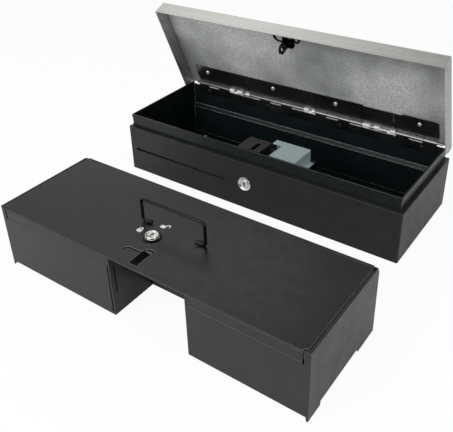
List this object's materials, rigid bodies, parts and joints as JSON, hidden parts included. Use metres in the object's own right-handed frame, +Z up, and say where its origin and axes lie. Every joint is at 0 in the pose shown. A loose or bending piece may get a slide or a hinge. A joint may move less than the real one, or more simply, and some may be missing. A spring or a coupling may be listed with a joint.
{
  "type": "cash drawer",
  "caption": "Low flip-top steel cash drawer, lid sprung open on a pin hinge, with a key lock and solenoid latch, and its lift-out till with a locking cover and folding handle.",
  "frame": {"origin": "centre of the drawer's footprint, on the counter; the till stands on the same counter in front of the drawer", "axes": "+X along the drawer's front, to the right for someone facing it; +Y to the back, where the lid is hinged; +Z up"},
  "size_m": [0.4845, 0.4492, 0.2495],
  "materials": {
    "black_coat": "satin black powder coat on folded sheet steel",
    "black_steel": "black plated and painted small steel parts",
    "stainless": "brushed stainless sheet, grain along the lid",
    "hinge_steel": "bright steel, lightly oiled",
    "spring_steel": "spring wire",
    "zinc_plate": "matte zinc plate",
    "chrome": "bright chrome",
    "coil_wrap": "wrapped winding",
    "rubber": "moulded rubber",
    "tray_plastic": "black moulded tray"
  },
  "bodies": {
    "housing": {"outer_shell": "black_coat", "base_plate": "black_coat", "fixing_washers": "zinc_plate", "inner_rim": "black_coat", "back_panel": "black_coat", "cable_grommet": "rubber", "hinge_body_leaf": "hinge_steel", "leaf_rivets": "hinge_steel", "hinge_pin": "hinge_steel", "mechanism_frame": "black_steel", "latch_cover": "black_steel", "solenoid_bracket": "zinc_plate", "mechanism_screws": "hinge_steel", "lever_pin": "hinge_steel", "solenoid_frame": "black_steel", "solenoid_coil": "coil_wrap", "drawer_lock_body": "chrome", "drawer_lock_nut": "zinc_plate", "lid_springs": "spring_steel", "plunger_spring": "spring_steel"},
    "lid": {"lid_panel": "stainless", "hinge_lid_leaf": "stainless", "lid_screws": "hinge_steel", "lid_striker": "black_steel", "striker_rivets": "black_steel"},
    "drawer_lock": {"drawer_lock_plug": "chrome", "drawer_lock_cam": "zinc_plate", "drawer_cam_screw": "zinc_plate"},
    "latch": {"latch_lever": "hinge_steel"},
    "plunger": {"solenoid_plunger": "hinge_steel", "plunger_pin": "hinge_steel"},
    "till": {"till_case": "black_coat", "till_left_end": "black_coat", "till_right_end": "black_coat", "till_hinge_pin": "hinge_steel", "note_dividers": "black_coat", "coin_tray": "tray_plastic"},
    "till_cover": {"till_cover": "black_coat", "till_lock_body": "chrome", "till_lock_nut": "zinc_plate", "handle_saddles": "black_steel", "saddle_rivets": "black_steel"},
    "till_handle": {"till_handle": "black_steel"},
    "till_lock": {"till_lock_plug": "chrome", "till_lock_cam": "zinc_plate", "till_cam_screw": "zinc_plate"}
  },
  "joints": [
    {"name": "lid_hinge", "type": "hinge", "parent": "housing", "child": "lid", "pos_m": [0, 0.08075, 0.09575], "axis": [-1, 0, 0], "range_deg": [-67, 0], "stiffness_Nm_per_rad": 0.463, "springref_deg": 49.5, "deforming": ["lid_springs"]},
    {"name": "drawer_lock_turn", "type": "hinge", "parent": "housing", "child": "drawer_lock", "pos_m": [-0.0065, -0.085, 0.042], "axis": [0, 1, 0], "range_deg": [0, 90]},
    {"name": "latch_pivot", "type": "hinge", "parent": "housing", "child": "latch", "pos_m": [0.0045, -0.056, 0.062], "axis": [0, 1, 0], "range_deg": [-13.61, 0.01]},
    {"name": "plunger_slide", "type": "slide", "parent": "housing", "child": "plunger", "axis": [1, 0, 0], "range_m": [-0.00426, 0], "deforming": ["plunger_spring"]},
    {"name": "till_lift", "type": "slide", "parent": "housing", "child": "till", "axis": [0, 0, 1], "range_m": [0, 0.25]},
    {"name": "till_cover_hinge", "type": "hinge", "parent": "till", "child": "till_cover", "pos_m": [0.0325, -0.2146, 0.0894], "axis": [-1, 0, 0], "range_deg": [0, 100]},
    {"name": "till_handle_fold", "type": "hinge", "parent": "till_cover", "child": "till_handle", "pos_m": [0.031, -0.287, 0.09405], "axis": [-1, 0, 0], "range_deg": [-75, 90]},
    {"name": "till_lock_turn", "type": "hinge", "parent": "till_cover", "child": "till_lock", "pos_m": [0.0155, -0.307, 0.092], "axis": [0, 0, -1], "range_deg": [0, 90]}
  ],
  "couplings": [
    {"joint": "latch_pivot", "follows": "plunger_slide", "rad_per_m": 55.59},
    {"joint": "drawer_lock_turn", "follows": "plunger_slide", "rad_per_m": -367.9}
  ]
}
